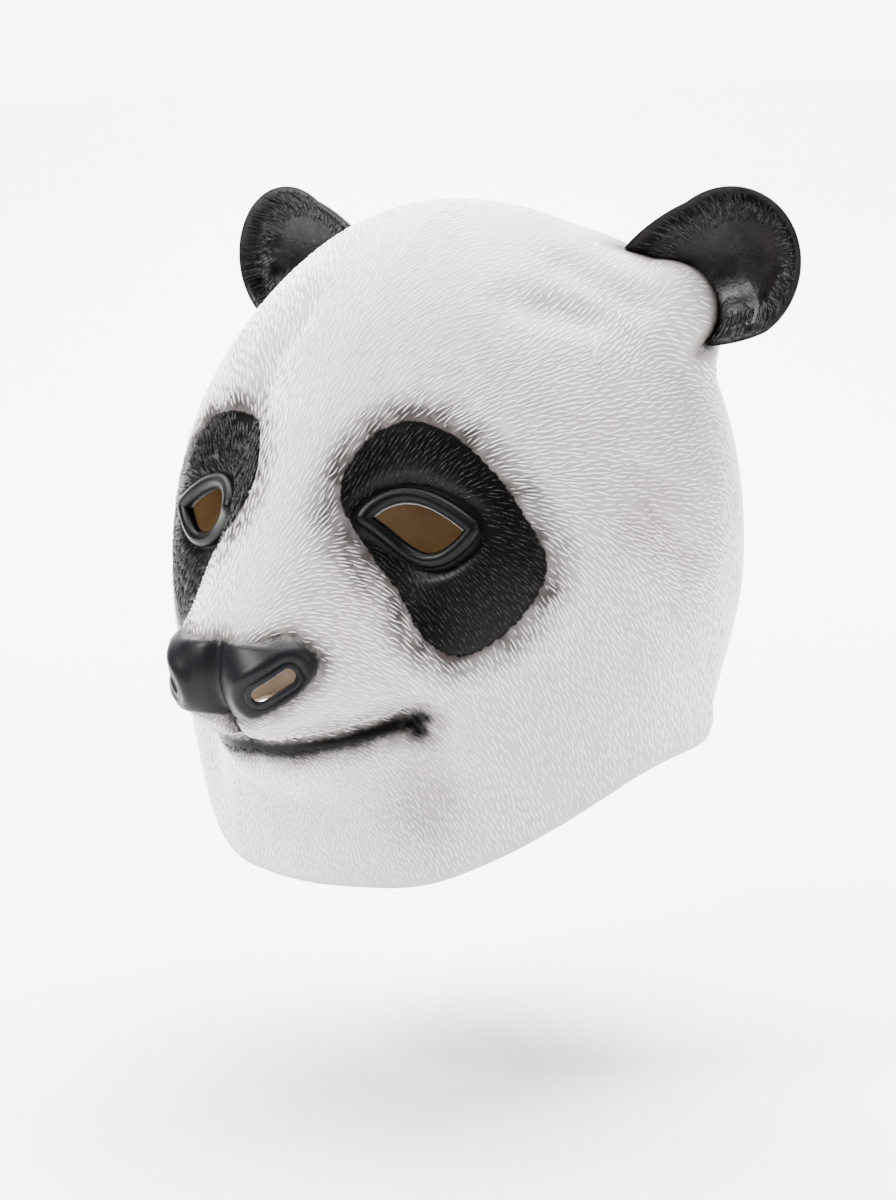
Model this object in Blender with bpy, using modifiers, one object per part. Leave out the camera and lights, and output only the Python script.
"""Panda mask: an over-the-head costume mask cast in one piece of latex.

Metres, +Z up, -Y is the front of the face and +X the panda's left. The origin is the
inside of the crown, where the mask rests on the wearer's head, so all of it hangs below.
The skin is one form function of space. It is made of an egg, the muzzle's forms and the
folds, and the tables below hold their lengths as shares of the named sizes.
"""
import math

import bmesh
import bpy
import numpy as np
from mathutils import Vector

# Wall and head
WALL = 0.0022
HEAD_HALF_WIDTH = 0.131
HEAD_HALF_DEPTH = 0.128
CROWN_RISE = 0.160          # from the widest level up to the crown
FRONT_DROP = 0.135          # from the widest level down to the rim under the chin
SIDE_DROP = 0.080           # and down to the rim at the sides and the nape
JAW_LENGTH = 0.245          # where the egg's front would close below the widest level
NAPE_LENGTH = 0.152         # where the egg's back would close
BROW_FULLNESS = 1.88        # power of the upper egg's curve in front, 2 is an ellipse
BACK_FULLNESS = 2.25        # and at the back
FACE_PLANE = -0.060         # the front of the egg ends here and the back begins to blend in
BACK_PLANE = 0.090
NECK_PINCH = 0.003          # the shallow groove under the jaw and above the nape's collar
COLLAR_RISE = 0.018         # the collar's height above the rim
COLLAR_FLARE = 0.004

# Eyes
EYE_LENGTH = 0.040
EYE_OPENING = 0.021
EYE_SPREAD = 0.057          # from the middle of the face
EYE_RISE = 0.026            # above the widest level
EYE_TURN = math.radians(24)
EYE_TILT = math.radians(-5)
LID_THICKNESS = 0.0075

# Nose
NOSTRIL_LENGTH = 0.017
NOSTRIL_OPENING = 0.006
NOSTRIL_SPREAD = 0.016
NOSTRIL_DROP = 0.039        # below the widest level
NOSTRIL_TILT = math.radians(36)

# Ears
EAR_HALF_WIDTH = 0.036
EAR_HALF_HEIGHT = 0.034
EAR_THICKNESS = 0.0055
EAR_CUP = 0.013
EAR_SPREAD = 0.122
EAR_RISE = 0.131            # above the widest level
EAR_SETBACK = 0.047
EAR_LEAN = math.radians(35)  # from level, of the line from the head to the ear's tip
EAR_TURN = math.radians(6)
EAR_ROOT_STRETCH = 0.50     # how far the lower half is drawn out towards the head
EAR_ROOT_FLARE = 0.12
EAR_ROOT_RAISE = 0.010      # how far the root lies above the middle of the flap

CUT_REACH = 0.024           # how far a cutter stands out of the skin, in front and inside

# Mesh
COLUMNS = 56                # a multiple of 4, so that one lies in the middle of the face
ROWS = 41
COLUMN_CROWDING = 0.44      # spacing at the middle of the face, as a share of the mean
ROW_CROWDING = 0.45
ROW_CENTRE = 0.70           # where the rows lie closest, from crown 0 to rim 1
LID_POINTS = 22
SKIN_STEPS = 24             # halvings when the skin is looked for along a line

# The heights below are from the widest level. x, r and blend are shares of the head's
# half width, y of its half depth and z of the crown's rise.
FORMS = [
    # name,     x0,    y0,     z0,     r0,    x1,    y1,     z1,     r1,    widen, blend
    ("bridge", 0.000, -0.620, 0.240, 0.230, 0.000, -1.040, -0.150, 0.165, 1.20, 0.230),
    ("lips", 0.105, -1.065, -0.285, 0.160, 0.275, -0.770, -0.240, 0.200, 1.00, 0.180),
    ("nose", 0.100, -1.180, -0.218, 0.134, 0.120, -1.100, -0.205, 0.142, 1.00, 0.050),
    ("chin", 0.090, -0.925, -0.450, 0.096, 0.230, -0.720, -0.420, 0.150, 1.00, 0.180),
    ("ear_root", 0.530, 0.230, 0.610, 0.265, 0.700, 0.260, 0.680, 0.185, 1.00, 0.170),
]
# A dent on both sides of the face: its middle, its half sizes and its depth.
DENTS = [
    # name,   x,     y,      z,      half_x, half_y, half_z, depth
    ("socket", 0.40, -0.875, 0.150, 0.200, 0.235, 0.185, 0.092),
    ("temple", 0.23, -0.975, 0.425, 0.170, 0.235, 0.185, 0.030),
    ("jowl", 0.46, -0.800, -0.510, 0.110, 0.235, 0.150, 0.046),
    ("ear_front", 0.62, -0.080, 0.820, 0.150, 0.260, 0.120, 0.030),
]
# A fold where the latex has sagged or was pressed: a line, its half width and its depth.
FOLDS = [
    # name,       x0,    y0,     z0,     x1,    y1,     z1,    half_width, depth
    ("far_brow", -0.17, -0.660, 0.730, -0.22, -0.860, 0.460, 0.085, 0.026),
    ("top_inner", 0.53, -0.400, 0.750, 0.70, -0.210, 0.690, 0.070, 0.019),
    ("top_outer", 0.55, -0.110, 0.840, 0.76, 0.030, 0.730, 0.060, 0.021),
    ("side_upper", 0.92, -0.260, 0.290, 0.99, -0.060, 0.080, 0.080, 0.018),
    ("side_lower", 0.94, -0.290, 0.170, 1.00, -0.070, 0.030, 0.055, 0.014),
]
# The line of the mouth, from the middle to its corner, which turns down at its end.
MOUTH = [
    # x,    y,      z
    (0.000, -1.180, -0.425),
    (0.130, -1.120, -0.428),
    (0.260, -1.010, -0.405),
    (0.430, -0.890, -0.352),
    (0.470, -0.870, -0.338),
]
MOUTH_HALF_WIDTH = 0.0042
MOUTH_DEPTH = 0.0045
# The rim from the middle of the front round to the nape: a share of the way from the side's
# level down to the front's, at an angle round the head.
RIM = [
    # degrees, share
    (0, 1.00),
    (30, 0.95),
    (49, 0.66),
    (60, 0.44),
    (71, 0.22),
    (82, 0.04),
    (96, 0.00),
    (180, 0.00),
]
RIM_ROUNDING = math.radians(7)

# The neck's groove: its level and half height as shares of the drop to the rim.
PINCH_LEVEL = 0.60
PINCH_SPREAD = 0.38

# Where the outlines of the eye are highest and lowest, from the inner corner 0 to the outer 1.
UPPER_APEX = 0.41
LOWER_APEX = 0.60
UPPER_SHARE = 0.43          # of the opening, above the line between the corners
ALMOND_ROUNDNESS = 0.85

WIDEST_LEVEL = WALL - CROWN_RISE
MIRRORED = (1, -1)
FORWARD = np.array((0, -1, 0))


def smoothstep(value, low, high):
    """Rise smoothly from 0 to 1 between low and high."""
    t = np.clip((value - low) / (high - low), 0, 1)
    return t * t * (3 - 2 * t)


def smooth_union(first, second, blend):
    """Join two distance fields with a fillet of about the blend's size."""
    h = np.clip(0.5 + 0.5 * (second - first) / blend, 0, 1)
    return second * (1 - h) + first * h - blend * h * (1 - h)


def sized(x, y, z):
    """A point of the tables, in metres."""
    return np.array((x * HEAD_HALF_WIDTH, y * HEAD_HALF_DEPTH, z * CROWN_RISE))


def along(points, start, end):
    """How far along a line each point lies, from 0 to 1, and its distance from the line."""
    line = end - start
    t = np.clip(((points - start) @ line) / (line @ line), 0, 1)
    return t, np.linalg.norm(points - start - t[..., None] * line, axis=-1)


def egg(points):
    """The head without its muzzle, narrower towards the neck than towards the crown."""
    x, y, z = points[..., 0], points[..., 1], points[..., 2]
    back = smoothstep(y, FACE_PLANE, BACK_PLANE)
    below = JAW_LENGTH * (1 - back) + NAPE_LENGTH * back
    height = np.where(z > 0, z / CROWN_RISE, z / below)
    power = np.where(z > 0, BROW_FULLNESS * (1 - back) + BACK_FULLNESS * back, 2.0)
    round_share = np.hypot(x / HEAD_HALF_WIDTH, y / HEAD_HALF_DEPTH)
    share = (round_share ** power + np.abs(height) ** power) ** (1 / power) + 1e-9
    collar = COLLAR_FLARE * smoothstep(-z, SIDE_DROP - COLLAR_RISE, SIDE_DROP)
    drop = FRONT_DROP * (1 - back) + SIDE_DROP * back
    pinch = NECK_PINCH * np.exp(-((z / drop + PINCH_LEVEL) / PINCH_SPREAD) ** 2)
    return (1 - 1 / share) * np.linalg.norm(points, axis=-1) + pinch - collar * back


def swelling(points, entry, side):
    """A capsule of changing radius, drawn out sideways by its widening."""
    _, x0, y0, z0, r0, x1, y1, z1, r1, widen, _ = entry
    narrow = np.array((1 / widen, 1, 1))
    start = sized(side * x0, y0, z0) * narrow
    end = sized(side * x1, y1, z1) * narrow
    t, distance = along(points * narrow, start, end)
    return distance - (r0 + (r1 - r0) * t) * HEAD_HALF_WIDTH


def form(points):
    """Distance of points from the outer skin, below 0 inside. Close to true near the skin."""
    result = egg(points)
    for entry in FORMS:
        for side in MIRRORED:
            result = smooth_union(result, swelling(points, entry, side), entry[-1] * HEAD_HALF_WIDTH)
    for _, x, y, z, half_x, half_y, half_z, depth in DENTS:
        for side in MIRRORED:
            offset = (points - sized(side * x, y, z)) / sized(half_x, half_y, half_z)
            result = result + depth * HEAD_HALF_WIDTH * np.exp(-(offset ** 2).sum(-1))
    for _, x0, y0, z0, x1, y1, z1, half_width, depth in FOLDS:
        _, distance = along(points, sized(x0, y0, z0), sized(x1, y1, z1))
        across = distance / (half_width * HEAD_HALF_WIDTH)
        result = result + depth * HEAD_HALF_WIDTH * np.exp(-across ** 2)
    return result + MOUTH_DEPTH * np.exp(-(from_mouth(points) / MOUTH_HALF_WIDTH) ** 2)


def from_mouth(points):
    """Distance of points from the line of the mouth, which is the same on both sides."""
    folded = np.concatenate([np.abs(points[..., :1]), points[..., 1:]], axis=-1)
    route = [sized(*entry) for entry in MOUTH]
    return np.min([along(folded, a, b)[1] for a, b in zip(route, route[1:])], axis=0)


def skin_along(starts, directions, near, far):
    """Points where lines cross the skin outwards, found by halving the stretch near to far."""
    low = np.full(directions.shape[:-1], near)
    high = np.full(directions.shape[:-1], far)
    for _ in range(SKIN_STEPS):
        middle = (low + high) / 2
        inside = form(starts + directions * middle[..., None]) < 0
        low = np.where(inside, middle, low)
        high = np.where(inside, high, middle)
    return starts + directions * low[..., None]


def rays(around, elevation):
    """Unit directions at angles round the head, 0 at the front, and above the level."""
    level = np.cos(elevation)
    return np.stack([np.sin(around) * level, -np.cos(around) * level, np.sin(elevation)], axis=-1)


def skin_at(around, elevation):
    """Points of the skin in directions from the middle of the widest level."""
    directions = rays(around, elevation)
    return skin_along(np.zeros(3), directions, WALL, 3 * HEAD_HALF_WIDTH)


def rim_height(around):
    """Height of the rim at an angle round the head, with the table's corners rounded."""
    degrees, shares = np.array(RIM).T
    ahead = np.abs(around)[..., None] + RIM_ROUNDING * np.linspace(-1, 1, 5)
    share = np.interp(np.degrees(np.abs(ahead)), degrees, shares).mean(axis=-1)
    return -(SIDE_DROP + (FRONT_DROP - SIDE_DROP) * share)


def rim_elevation(around):
    """Elevation, seen from the middle of the widest level, at which the skin meets the rim."""
    high = np.zeros_like(around)
    low = np.full_like(around, math.radians(-75))
    for _ in range(SKIN_STEPS):
        middle = (low + high) / 2
        above = skin_at(around, middle)[..., 2] > rim_height(around)
        high = np.where(above, middle, high)
        low = np.where(above, low, middle)
    return low


def crowded_columns(turn):
    """Move the columns, at turns from -1 to 1 round the head, towards the face."""
    return math.pi * (COLUMN_CROWDING * turn + (1 - COLUMN_CROWDING) * turn ** 3)


def crowded_rows(share):
    """Move the rows, from crown 0 to rim 1, towards the muzzle's level."""
    start = 0.5 - ROW_CENTRE
    wave = np.sin(2 * math.pi * (share + start)) - math.sin(2 * math.pi * start)
    return share + ROW_CROWDING * wave / (2 * math.pi)


def material(name, colour, roughness):
    """A Principled BSDF material of one colour."""
    made = bpy.data.materials.new(name)
    made.use_nodes = True
    shader = made.node_tree.nodes["Principled BSDF"]
    shader.inputs["Base Color"].default_value = (*colour, 1)
    shader.inputs["Roughness"].default_value = roughness
    shader.inputs["Metallic"].default_value = 0
    return made


def collection(name):
    """A new collection of the scene."""
    made = bpy.data.collections.new(name)
    bpy.context.scene.collection.children.link(made)
    return made


def add_object(name, bm, group, level, finish):
    """Turn a bmesh into an object whose heights are from the widest level."""
    mesh = bpy.data.meshes.new(name)
    bm.to_mesh(mesh)
    bm.free()
    mesh.materials.append(finish)
    made = bpy.data.objects.new(name, mesh)
    made.parent = level
    group.objects.link(made)
    return made


def coordinates(bm):
    """All vertices of a bmesh as one array."""
    return np.array([vertex.co[:] for vertex in bm.verts])


def place(bm, points):
    """Put the vertices of a bmesh at new points."""
    for vertex, point in zip(bm.verts, points):
        vertex.co = point


def skin_sheet():
    """The outer skin: a round grid open below, laid on the form from crown to rim."""
    bm = bmesh.new()
    bmesh.ops.create_uvsphere(bm, u_segments=COLUMNS, v_segments=ROWS + 1, radius=1)
    bottom = [vertex for vertex in bm.verts if vertex.co.z < -1 + 1e-6]
    bmesh.ops.delete(bm, geom=bottom, context="VERTS")
    grid = coordinates(bm)
    turn = np.arctan2(grid[:, 0], -grid[:, 1]) / math.pi
    around = crowded_columns(turn)
    from_crown = np.arccos(np.clip(grid[:, 2], -1, 1)) / math.pi * (ROWS + 1) / ROWS
    lowest = rim_elevation(around)
    elevation = math.pi / 2 - (math.pi / 2 - lowest) * crowded_rows(np.minimum(from_crown, 1))
    place(bm, skin_at(around, elevation))
    return bm


def core():
    """All that lies deeper than the middle of the wall, closed below."""
    bm = skin_sheet()
    points = coordinates(bm)
    outward = points / np.linalg.norm(points, axis=-1, keepdims=True)
    place(bm, points - outward * WALL / 2)
    bmesh.ops.holes_fill(bm, edges=[edge for edge in bm.edges if edge.is_boundary])
    bmesh.ops.recalc_face_normals(bm, faces=bm.faces)
    return bm


def almond(samples):
    """The eye's opening, as points from -0.5 to 0.5 of its length and its opening."""
    share = (1 - np.cos(np.linspace(0, math.pi, samples // 2 + 1))) / 2
    rise = UPPER_SHARE * bow(share, UPPER_APEX)
    fall = -(1 - UPPER_SHARE) * bow(share, LOWER_APEX)
    across = np.concatenate([share, share[-2:0:-1]]) - 0.5
    up = np.concatenate([rise, fall[-2:0:-1]])
    return across, up


def bow(share, apex):
    """A curve from 0 up to 1 at its apex and back to 0."""
    return np.clip(np.sin(math.pi * share ** (math.log(0.5) / math.log(apex))), 0, 1) ** ALMOND_ROUNDNESS


def eye_outline(side, grow):
    """The outline of an eye on the skin, grown all round, and the way into the eye."""
    across, up = almond(LID_POINTS)
    outward = np.array((side * math.cos(EYE_TURN), math.sin(EYE_TURN), 0))
    inward = np.array((-side * math.sin(EYE_TURN), math.cos(EYE_TURN), 0))
    wide = across * (EYE_LENGTH + 2 * grow)
    high = up * (EYE_OPENING + 2 * grow)
    tilted_wide = wide * math.cos(EYE_TILT) - high * math.sin(EYE_TILT)
    tilted_high = wide * math.sin(EYE_TILT) + high * math.cos(EYE_TILT)
    middle = skin_along(np.array((side * EYE_SPREAD, 0, EYE_RISE)), FORWARD, 0, 2 * HEAD_HALF_DEPTH)
    plane = middle + outward * tilted_wide[:, None] + np.array((0, 0, 1)) * tilted_high[:, None]
    start = plane + inward * HEAD_HALF_DEPTH
    directions = np.broadcast_to(-inward, start.shape)
    return skin_along(start, directions, 0, 2 * HEAD_HALF_DEPTH), inward


def lid(side):
    """The rolled rim of an eye: a closed tube on the skin, sunk into the wall."""
    outline, _ = eye_outline(side, LID_THICKNESS / 2)
    curve = bpy.data.curves.new("lid_line", "CURVE")
    curve.dimensions = "3D"
    curve.bevel_depth = LID_THICKNESS / 2
    curve.bevel_resolution = 1
    spline = curve.splines.new("POLY")
    spline.points.add(len(outline) - 1)
    for point, place_on_skin in zip(spline.points, outline):
        point.co = (*place_on_skin, 1)
    spline.use_cyclic_u = True
    guide = bpy.data.objects.new("lid_line", curve)
    bpy.context.scene.collection.objects.link(guide)
    evaluated = guide.evaluated_get(bpy.context.evaluated_depsgraph_get())
    mesh = bpy.data.meshes.new_from_object(evaluated)
    bm = bmesh.new()
    bm.from_mesh(mesh)
    bpy.data.objects.remove(guide)
    bpy.data.meshes.remove(mesh)
    bpy.data.curves.remove(curve)
    bmesh.ops.remove_doubles(bm, verts=bm.verts, dist=1e-5)
    bmesh.ops.recalc_face_normals(bm, faces=bm.faces)
    return bm


def eye_cutter(side):
    """A prism through the wall with the outline of the eye's opening."""
    outline, inward = eye_outline(side, 0)
    bm = bmesh.new()
    in_front = [bm.verts.new(point - inward * CUT_REACH) for point in outline]
    cap = bm.faces.new(in_front)
    grown = bmesh.ops.extrude_face_region(bm, geom=[cap])
    pushed = [item for item in grown["geom"] if isinstance(item, bmesh.types.BMVert)]
    bmesh.ops.translate(bm, verts=pushed, vec=Vector(inward) * 2 * CUT_REACH)
    bmesh.ops.recalc_face_normals(bm, faces=bm.faces)
    return bm


def nostril_cutter(side):
    """A slanted slot with round ends, from in front of the nose into the hollow."""
    half = NOSTRIL_OPENING / 2
    bm = bmesh.new()
    bmesh.ops.create_cone(bm, cap_ends=True, segments=12, radius1=half, radius2=half, depth=2 * CUT_REACH)
    for vertex in bm.verts:
        vertex.co.x += math.copysign((NOSTRIL_LENGTH - NOSTRIL_OPENING) / 2, vertex.co.x)
    slant = side * NOSTRIL_TILT
    behind = np.array((side * NOSTRIL_SPREAD, 0, -NOSTRIL_DROP))
    middle = skin_along(behind, FORWARD, 0, 2 * HEAD_HALF_DEPTH)
    for vertex in bm.verts:
        x, y, z = vertex.co
        vertex.co = (x * math.cos(slant) - y * math.sin(slant) + middle[0],
                     z + middle[1],
                     x * math.sin(slant) + y * math.cos(slant) + middle[2])
    bmesh.ops.recalc_face_normals(bm, faces=bm.faces)
    return bm


def ear(side):
    """A cupped ear flap whose root widens into the head's wall."""
    bm = bmesh.new()
    bmesh.ops.create_uvsphere(bm, u_segments=20, v_segments=12, radius=1)
    flat = coordinates(bm)
    out, across, thick = flat[:, 0], flat[:, 1], flat[:, 2]
    radius = np.hypot(out, across)
    toward_head = np.maximum(-out, 0)
    along_ear = out * EAR_HALF_WIDTH * (1 + EAR_ROOT_STRETCH * toward_head)
    across_ear = across * EAR_HALF_HEIGHT * (1 + EAR_ROOT_FLARE * toward_head)
    across_ear = across_ear - EAR_ROOT_RAISE * toward_head
    ahead = thick * EAR_THICKNESS / 2 * (1 + toward_head) + EAR_CUP * radius ** 2
    sideways = along_ear * math.cos(EAR_LEAN) + across_ear * math.sin(EAR_LEAN)
    upwards = along_ear * math.sin(EAR_LEAN) - across_ear * math.cos(EAR_LEAN)
    x = sideways * math.cos(EAR_TURN) + ahead * math.sin(EAR_TURN)
    y = sideways * math.sin(EAR_TURN) - ahead * math.cos(EAR_TURN)
    points = np.stack([side * (EAR_SPREAD + x), EAR_SETBACK + y, EAR_RISE + upwards], axis=-1)
    place(bm, points)
    bmesh.ops.recalc_face_normals(bm, faces=bm.faces)
    return bm


def boolean(body, operation, group):
    """Join or cut a body with all objects of a collection."""
    modifier = body.modifiers.new(operation.lower(), "BOOLEAN")
    modifier.operation = operation
    modifier.operand_type = "COLLECTION"
    modifier.collection = group
    modifier.solver = "EXACT"


def as_guides(group):
    """Keep a collection's objects out of the model itself."""
    for item in group.objects:
        item.hide_render = True
        item.display_type = "WIRE"


def build():
    """Make the mask's one solid."""
    for item in list(bpy.data.objects):
        bpy.data.objects.remove(item)
    latex = material("white_latex", (0.86, 0.84, 0.82), 0.55)
    black = material("black_paint", (0.015, 0.013, 0.013), 0.4)
    parts = collection("panda_mask")
    castings = collection("cast_on")
    cutters = collection("cutters")
    inside = collection("inside")
    level = bpy.data.objects.new("widest_level", None)
    level.location = (0, 0, WIDEST_LEVEL)
    parts.objects.link(level)

    shell = add_object("mask_shell", skin_sheet(), parts, level, latex)
    add_object("core", core(), inside, level, black)
    for side, name in zip(MIRRORED, ("left", "right")):
        cast_on = [add_object(f"ear_{name}", ear(side), castings, level, black),
                   add_object(f"lid_{name}", lid(side), castings, level, black)]
        for piece in cast_on:
            boolean(piece, "DIFFERENCE", inside)
        add_object(f"eye_{name}", eye_cutter(side), cutters, level, black)
        add_object(f"nostril_{name}", nostril_cutter(side), cutters, level, black)
    for group in (castings, cutters, inside):
        as_guides(group)

    wall = shell.modifiers.new("wall", "SOLIDIFY")
    wall.thickness = WALL
    wall.offset = -1
    wall.use_even_offset = True
    boolean(shell, "UNION", castings)
    boolean(shell, "DIFFERENCE", cutters)
    shell.data.shade_smooth()
    shell.data.set_sharp_from_angle(angle=math.radians(50))


build()
